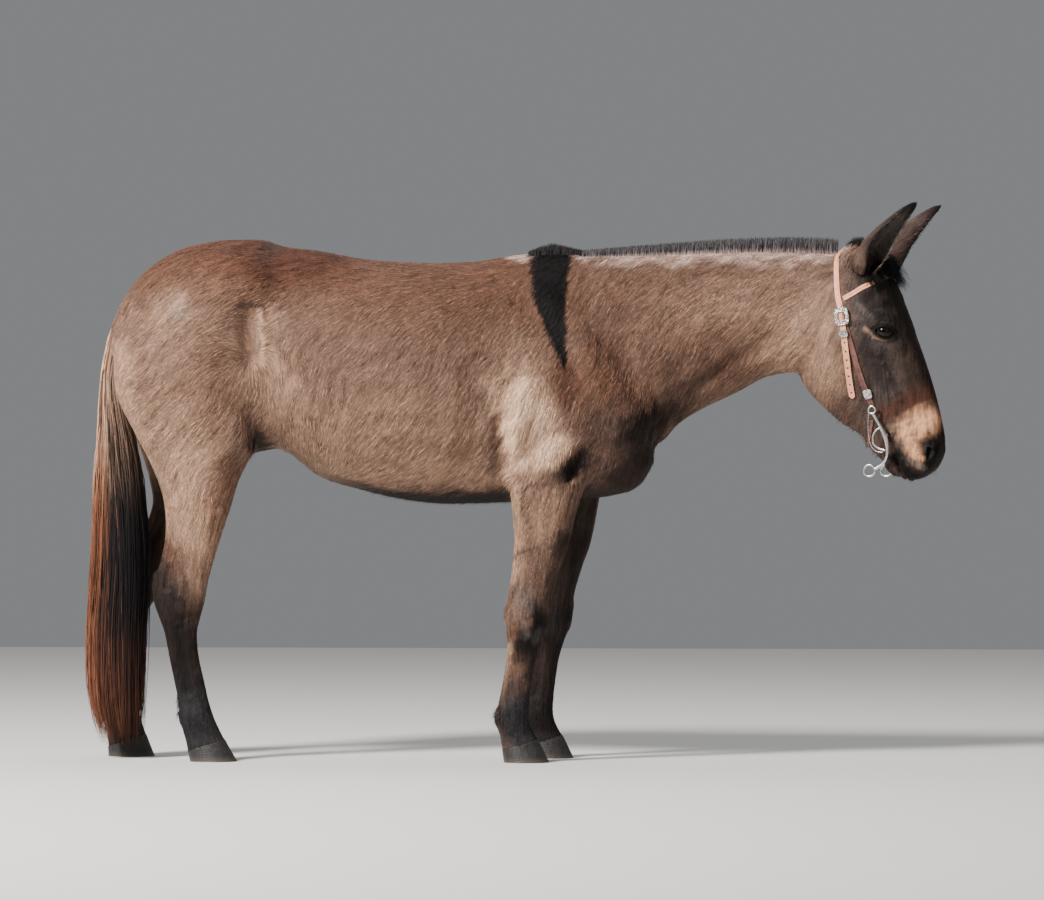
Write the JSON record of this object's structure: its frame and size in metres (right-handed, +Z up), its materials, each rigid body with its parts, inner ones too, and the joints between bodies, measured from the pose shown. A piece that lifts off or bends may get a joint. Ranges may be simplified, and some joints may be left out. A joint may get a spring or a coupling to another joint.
{
  "type": "standing mule in a bridle",
  "caption": "Life-size brown mule standing square with long forward ears, clipped mane, full tail and a leather bridle with a curb bit.",
  "frame": {"origin": "on the ground plane, under the middle of the mule's bounding box", "axes": "+X towards the mule's head, +Y towards its left side, +Z up"},
  "size_m": [2.4927, 0.5988, 1.6046],
  "materials": {
    "coat_brown": "short brown summer hair",
    "leg_brown": "short dark hair on the lower legs",
    "face_brown": "very short dark hair, tan at the muzzle",
    "horn_black": "dark hoof horn",
    "eye_black": "wet dark eyeball",
    "hair_black": "clipped black mane hair",
    "tail_auburn": "long black and auburn tail hair",
    "leather_tan": "oiled tan harness leather",
    "steel": "polished bit and buckle metal"
  },
  "bodies": {
    "root": {"head": "face_brown", "neck": "coat_brown", "torso": "coat_brown", "foreleg_right": "leg_brown", "hindleg_right": "leg_brown", "fore_hoof_right": "horn_black", "hind_hoof_right": "horn_black", "ear_right": "face_brown", "eye_right": "eye_black", "cheekpiece_right": "leather_tan", "buckle_right": "steel", "keeper_right": "steel", "ferrule_right": "steel", "foreleg_left": "leg_brown", "hindleg_left": "leg_brown", "fore_hoof_left": "horn_black", "hind_hoof_left": "horn_black", "ear_left": "face_brown", "eye_left": "eye_black", "cheekpiece_left": "leather_tan", "buckle_left": "steel", "keeper_left": "steel", "ferrule_left": "steel", "mane": "hair_black", "tail": "tail_auburn", "crownpiece": "leather_tan", "browband": "leather_tan", "curb_strap": "leather_tan", "bit": "steel"}
  },
  "joints": []
}
